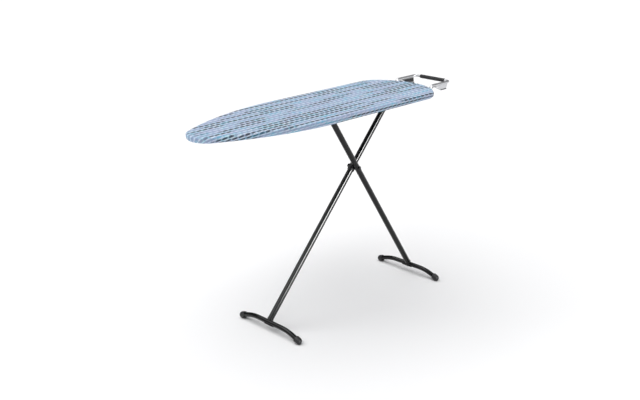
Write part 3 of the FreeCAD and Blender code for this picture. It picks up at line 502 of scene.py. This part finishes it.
# How far neighbouring rows lie apart in the noise, so that each row swells on its own.
DARK_ROW_GAP = 1.37
PALE_ROW_GAP = 5.11
TEAL_OFFSET = 91.0
# How far the print's first dashes lie behind the tip of the nose, from none to full strength.
NOSE_BARE = (-0.02, 0.06)
# Real threads lie about 0.4 mm apart. They are drawn 3.1 mm apart, so that the weave shows.
# The wave texture turns 20 radians in each of its units, which gives its scale.
THREAD = 0.0031165
WAVE_TURNS = 20
THREAD_SCALE = 2 * math.pi / (WAVE_TURNS * THREAD)


def maths(tree, operation, first, second=0.0):
    """One arithmetic node."""
    item = add(tree, "ShaderNodeMath", {0: first, 1: second}, operation=operation)
    return item.outputs[0]


def flat_noise(tree, x, y, detail=1.0):
    """Noise over two numbers."""
    place = add(tree, "ShaderNodeCombineXYZ", {"X": x, "Y": y}).outputs[0]
    item = add(tree, "ShaderNodeTexNoise", {"Vector": place, "Scale": 1.0, "Detail": detail})
    return item.outputs["Fac"]


def smooth_step(tree, value, low, high):
    """0 below low, 1 above high, smooth between."""
    item = add(tree, "ShaderNodeMapRange", {"Value": value, "From Min": low, "From Max": high},
               interpolation_type="SMOOTHSTEP")
    return item.outputs["Result"]


def mix_colour(tree, factor, first, second):
    """Mix of two colours."""
    item = add(tree, "ShaderNodeMix", data_type="RGBA")
    sockets = [socket for socket in item.inputs if socket.enabled]
    for socket, value in zip(sockets, (factor, first, second)):
        if isinstance(value, bpy.types.NodeSocket):
            tree.links.new(value, socket)
        else:
            socket.default_value = value
    return next(socket for socket in item.outputs if socket.enabled)


def dash_rows(tree, u, v, shift, half, thick):
    """Rows of slanted dashes: the row's number and how much of a dash covers each point."""
    rows = maths(tree, "ADD", maths(tree, "DIVIDE", v, ROW_PITCH), shift)
    row = maths(tree, "FLOOR", rows)
    across = maths(tree, "SUBTRACT", maths(tree, "FRACT", rows), 0.5)
    scatter = maths(tree, "MULTIPLY", maths(tree, "MULTIPLY", row, row), ROW_SCATTER)
    stagger = maths(tree, "ADD", maths(tree, "MULTIPLY", row, ROW_SHIFT), scatter)
    lean = maths(tree, "MULTIPLY", across, -SLANT * ROW_PITCH / DASH_PITCH)
    moved = maths(tree, "ADD", stagger, lean)
    turns = maths(tree, "ADD", maths(tree, "DIVIDE", u, DASH_PITCH), moved)
    along = maths(tree, "SUBTRACT", maths(tree, "FRACT", turns), 0.5)
    x = maths(tree, "MULTIPLY", along, DASH_PITCH / half)
    y = maths(tree, "MULTIPLY", across, ROW_PITCH / thick)
    reach = maths(tree, "ADD", maths(tree, "MULTIPLY", x, x), maths(tree, "MULTIPLY", y, y))
    return row, maths(tree, "SUBTRACT", 1.0, smooth_step(tree, reach, 0.45, 1.45))


def drift(tree, u, length, place):
    """Noise that changes along a row over a length, and differs from row to row."""
    return flat_noise(tree, maths(tree, "DIVIDE", u, length), place)


def make_ground(tree, u, v):
    """The ground's colour, which drifts in long patches."""
    patch = flat_noise(tree, maths(tree, "DIVIDE", u, HUE_LENGTH), maths(tree, "DIVIDE", v, HUE_WIDTH), 2.0)
    return ramp(tree, patch, [
        (0.30, "#6FB0D0"), (0.40, "#98B8D2"), (0.49, "#A9B4D0"), (0.58, "#84BCD2"), (0.70, "#B3BCC6"),
    ])


def add_dark_dashes(tree, u, v, ground):
    """Rows of dashes that swell to navy or teal; they start behind the tip of the nose."""
    row, dash = dash_rows(tree, u, v, 0.0, DASH_HALF, DASH_THICK)
    row_place = maths(tree, "MULTIPLY", row, DARK_ROW_GAP)
    swell = smooth_step(tree, drift(tree, u, NAVY_LENGTH, row_place), 0.47, 0.52)
    bare_from, bare_to = (cover_low.x + reach for reach in NOSE_BARE)
    behind_nose = smooth_step(tree, u, bare_from, bare_to)
    swell = maths(tree, "MULTIPLY", swell, behind_nose)
    teal_noise = drift(tree, u, TEAL_LENGTH, maths(tree, "ADD", row_place, TEAL_OFFSET))
    teal = smooth_step(tree, teal_noise, 0.56, 0.66)
    ink = mix_colour(tree, teal, linear("#1C2238"), linear("#175F79"))
    light_ink = mix_colour(tree, teal, linear("#92A2C4"), linear("#68AACA"))
    row_ink = mix_colour(tree, swell, light_ink, ink)
    return mix_colour(tree, maths(tree, "MULTIPLY", dash, DARK_COVERAGE), ground, row_ink)


def add_pale_dashes(tree, u, v, below):
    """Pale dashes in the gaps between the rows."""
    row, dash = dash_rows(tree, u, v, 0.5, PALE_HALF, PALE_THICK)
    ink = ramp(tree, drift(tree, u, PALE_LENGTH, maths(tree, "MULTIPLY", row, PALE_ROW_GAP)), [
        (0.35, "#E2ECF8"), (0.5, "#D3D8EF"), (0.62, "#B9E0EE"), (0.7, "#EDEFF5"),
    ])
    return mix_colour(tree, maths(tree, "MULTIPLY", dash, PALE_COVERAGE), below, ink)


def make_weave(tree, cloth):
    """Height of the plain weave: the mean of two crossed waves."""
    waves = [
        add(tree, "ShaderNodeTexWave", {"Vector": cloth, "Scale": THREAD_SCALE, "Distortion": 0.4},
            bands_direction=direction).outputs["Fac"]
        for direction in ("X", "Y")
    ]
    return maths(tree, "MULTIPLY", maths(tree, "ADD", *waves), 0.5)


def make_cotton():
    """Printed cotton: ground, dashes, weave and puckers, on the cloth's own coordinates."""
    material, tree, shader = start_material("printed_cotton")
    cloth = add(tree, "ShaderNodeUVMap", uv_map="cloth").outputs["UV"]
    split = add(tree, "ShaderNodeSeparateXYZ", {"Vector": cloth})
    u, v = split.outputs["X"], split.outputs["Y"]
    printed = add_dark_dashes(tree, u, v, make_ground(tree, u, v))
    printed = add_pale_dashes(tree, u, v, printed)
    weave = make_weave(tree, cloth)
    # Painted shade and highlight: the weave's hollows darken the print and its crowns lighten it a little.
    shade = spread(tree, weave, 0.90, 1.05)
    shaded = add(tree, "ShaderNodeVectorMath", {0: printed, 1: shade}, operation="MULTIPLY")
    tree.links.new(shaded.outputs[0], shader.inputs["Base Color"])
    set_inputs(shader, Roughness=0.85, Sheen_Weight=0.25, Sheen_Roughness=0.5, IOR=1.45)
    pucker_u = maths(tree, "DIVIDE", u, PUCKER_LENGTH)
    puckers = flat_noise(tree, pucker_u, maths(tree, "DIVIDE", v, PUCKER_WIDTH), 2.0)
    bump(tree, shader, maths(tree, "ADD", maths(tree, "MULTIPLY", weave, 0.12), puckers), 0.0009)
    return material


cotton = make_cotton()
print("cotton has", len(cotton.node_tree.nodes), "nodes")

# %% [markdown]
# ## The cover
# The cloth lies flat on the felt, turns over the rim and tucks under, where a drawcord gathers
# it. On the real board the gathers are deep where the outline curves, at the nose and the tail,
# and shallow along the sides. So the profile steps over the edge and under it, and a wave that
# grows towards the hem pushes each ring in and out.

# %% Cover profile and gathers
TOP_ROUND = 0.0065
LOW_ROUND = 0.0100
TUCK = 0.0265
CLOTH_THICKNESS = 0.0011
GATHER_PITCH = 0.0185
GATHER_START = 0.004
GATHER_PUSH = 0.0011
GATHER_LIFT = 0.0010
GATHER_CALM = 0.62
GATHER_WANDER = 2.6
FINE_PITCH = GATHER_PITCH * 0.57
FINE_WANDER = 4.0
FINE_SHARE = 0.3
WANDER_SCALE = 14
TUCK_STEPS = 6
TUCK_LIFT = 0.0006
TOP_INSETS = (0.055, 0.042, 0.030, 0.020, 0.013)
ROUND_STEPS = 7


def cover_profile():
    """Steps of the cloth from the flat top, over the edge and under the board."""
    steps = [(inset, BOARD_TOP) for inset in TOP_INSETS]
    for i in range(ROUND_STEPS + 1):
        turn = math.pi / 2 * i / ROUND_STEPS
        steps.append((TOP_ROUND * (1 - math.sin(turn)), BOARD_TOP - TOP_ROUND * (1 - math.cos(turn))))
    for i in range(ROUND_STEPS + 1):
        turn = math.pi / 2 * i / ROUND_STEPS
        steps.append((LOW_ROUND * (1 - math.cos(turn)), BOARD_UNDER + LOW_ROUND * (1 - math.sin(turn))))
    for i in range(1, TUCK_STEPS + 1):
        steps.append((LOW_ROUND + (TUCK - LOW_ROUND) * i / TUCK_STEPS, BOARD_UNDER + TUCK_LIFT))
    along = -steps[0][0]
    profile = [(*steps[0], along)]
    for before, after in zip(steps, steps[1:]):
        along += math.dist(before, after)
        profile.append((*after, along))
    return profile


COVER_PROFILE = cover_profile()
HEM_ALONG = COVER_PROFILE[-1][2]


def gather(i, along):
    """How far the gathers push a point in and up, at a point of the ring and a cloth distance."""
    strength = max(0.0, min(1.0, (along - GATHER_START) / (HEM_ALONG - GATHER_START)))
    if strength == 0.0:
        return 0.0, 0.0
    distance = 2 * HALF_PERIMETER * i / RING_POINTS
    point, outward = EDGE[i]
    curved = 1.0 - GATHER_CALM * abs(outward.y) ** 8
    wander = noise.noise(Vector((point.x * WANDER_SCALE, point.y * WANDER_SCALE, 3.0)))
    wave = math.sin(2 * math.pi * distance / GATHER_PITCH + GATHER_WANDER * wander)
    fine = math.sin(2 * math.pi * distance / FINE_PITCH + FINE_WANDER * wander)
    swing = ((1 - FINE_SHARE) * wave + FINE_SHARE * fine) * curved
    return GATHER_PUSH * swing * strength, -GATHER_LIFT * swing * strength ** 2


cover_bm = board_band(COVER_PROFILE, cap=True, wave=gather)
for face in cover_bm.faces:
    if len(face.verts) > 4 and face.normal.z < 0:
        bmesh.ops.reverse_faces(cover_bm, faces=cover_bm.faces)
        break
cover = make_piece("printed_cover", cover_bm, cotton, "board")
wall = cover.modifiers.new("cloth", "SOLIDIFY")
wall.thickness = CLOTH_THICKNESS
wall.offset = -1.0
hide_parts("cover")


def cut_area():
    """Area of the flat cut: the board's outline grown by the cloth that goes over and under."""
    rim = [point + outward * HEM_ALONG for point, outward in EDGE]
    pairs = zip(rim, rim[1:] + rim[:1])
    return abs(sum(a.x * b.y - b.x * a.y for a, b in pairs)) / 2


cut_length = cover_high.x - cover_low.x + 2 * HEM_ALONG
cut_width = 2 * (HALF_WIDTH + HEM_ALONG)
print("cloth cut", round(cut_width, 3), "x", round(cut_length, 3), "m, area", round(cut_area(), 4))

# %% [markdown]
# ## The hem
# The edge of the cloth is sewn into a narrow casing round a drawcord. It is a thin roll of the
# same cloth that follows the gathers, so it is another band on the same outline, closed on itself.

# %% Hem roll
HEM_RADIUS = 0.0022
HEM_SIDES = 10
HEM_OFFSET = 0.0006


def hem_profile():
    """A small circle round the edge of the cloth."""
    centre_inset = TUCK + HEM_OFFSET
    centre_height = BOARD_UNDER - HEM_OFFSET
    steps = []
    for i in range(HEM_SIDES + 1):
        turn = 2 * math.pi * i / HEM_SIDES
        inset = centre_inset + HEM_RADIUS * math.cos(turn)
        height = centre_height + HEM_RADIUS * math.sin(turn)
        steps.append((inset, height, HEM_ALONG + HEM_RADIUS * turn))
    return steps


hem = make_piece("gathered_hem", board_band(hem_profile(), wave=gather, closed=True), cotton, "board")
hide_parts("cover_hem")
cut_area()

# %% [markdown]
# ## The felt
# Under the cloth lies a needled felt, 5 mm thick. It shows only through the diamonds of the
# steel top, from below, but there it gives the underside its pale, fibrous look.


# %% Needled felt
def make_felt():
    """Needled felt: off-white fibres about 2 mm long, drawn at 3 mm."""
    material, tree, shader = start_material("needled_felt")
    fibres = grain(tree, 0.003, detail=6.0, roughness=0.75)
    tree.links.new(ramp(tree, fibres, [(0.3, "#C9C4B6"), (0.7, "#EAE6DB")]), shader.inputs["Base Color"])
    set_inputs(shader, Roughness=0.95, Sheen_Weight=0.4, Sheen_Roughness=0.6)
    bump(tree, shader, fibres, 0.0005)
    return material


pad_low, pad_high = (Vector(corner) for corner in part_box("felt_pad"))
PAD_INSET = HALF_WIDTH - pad_high.y
PAD_ROUND = (pad_high.z - pad_low.z) / 2
PAD_TOP_INSETS = (0.055, 0.03, 0.016)
PAD_ROUND_STEPS = 8


def felt_profile():
    """Steps over the felt's top, round its edge and back under it."""
    steps = [(inset, pad_high.z, 0.0) for inset in PAD_TOP_INSETS]
    for i in range(PAD_ROUND_STEPS + 1):
        turn = math.pi * i / PAD_ROUND_STEPS
        inset = PAD_INSET + PAD_ROUND * (1 - math.sin(turn))
        steps.append((inset, pad_low.z + PAD_ROUND * (1 + math.cos(turn)), 0.0))
    return steps + [(inset, pad_low.z, 0.0) for inset in reversed(PAD_TOP_INSETS[:-1])]


felt_bm = board_band(felt_profile(), cap=True)
open_edges = [edge for edge in felt_bm.edges if edge.is_boundary]
bmesh.ops.contextual_create(felt_bm, geom=open_edges)
bmesh.ops.recalc_face_normals(felt_bm, faces=felt_bm.faces)
felt = make_piece("felt_underlay", felt_bm, make_felt(), "board")
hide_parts("felt_pad")

# %% [markdown]
# ## Welds
# Each leg is welded to the top of its foot bar. A weld bead is a lumpy ring round the tube, so it
# is a small circle spun round the joint, with its points nudged by noise.


# %% Weld beads
BEAD_SIDES = 8
BEAD_STEPS = 48
LUMPS_PER_METRE = 420.0
LUMP_SHARE = 0.35


def weld_bead(name, centre, axis, ring_radius, bead_radius, body):
    """A lumpy ring of weld round an axis."""
    bm = bmesh.new()
    turn = Vector((0, 0, 1)).rotation_difference(Vector(axis)).to_matrix().to_4x4()
    side = Matrix.Translation((ring_radius, 0, 0)) @ Matrix.Rotation(math.pi / 2, 4, "X")
    bmesh.ops.create_circle(bm, segments=BEAD_SIDES, radius=bead_radius, matrix=side)
    bmesh.ops.spin(bm, geom=list(bm.verts) + list(bm.edges), cent=(0, 0, 0), axis=(0, 0, 1),
                   angle=2 * math.pi, steps=BEAD_STEPS, use_merge=True)
    bmesh.ops.remove_doubles(bm, verts=bm.verts, dist=MERGE_DISTANCE)
    for vert in bm.verts:
        lump = noise.noise(vert.co * LUMPS_PER_METRE)
        vert.co += vert.co.normalized() * lump * bead_radius * LUMP_SHARE
    bmesh.ops.transform(bm, matrix=Matrix.Translation(centre) @ turn, verts=bm.verts)
    bmesh.ops.recalc_face_normals(bm, faces=bm.faces)
    for face in bm.faces:
        face.smooth = True
    bead = make_piece(name, bm, enamel, body)
    return bead


def middle(name):
    """Middle of a part's box."""
    low, high = (Vector(corner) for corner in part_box(name))
    return (low + high) / 2


bar_low, bar_high = (Vector(corner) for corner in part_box("front_foot_bar"))
BAR_RADIUS = (bar_high.x - bar_low.x) / 2
LEG_RADIUS = 0.011
WELD_RADIUS = 0.0016
WELD_HEIGHT = 0.0125
LEG_PINS = {"front": "hinge_pin", "rear": "slide_axle"}
for leg, pin in LEG_PINS.items():
    leg_y = middle(f"{leg}_leg_tube").y
    bar_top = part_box(f"{leg}_foot_bar")[1][2]
    foot = Vector((middle(f"{leg}_foot_bar").x, leg_y, bar_top - BAR_RADIUS))
    top = Vector((middle(pin).x, leg_y, middle(pin).z))
    direction = (top - foot).normalized()
    place = foot + direction * WELD_HEIGHT
    weld_bead(f"{leg}_weld", place, direction, LEG_RADIUS, WELD_RADIUS, f"{leg}_leg")
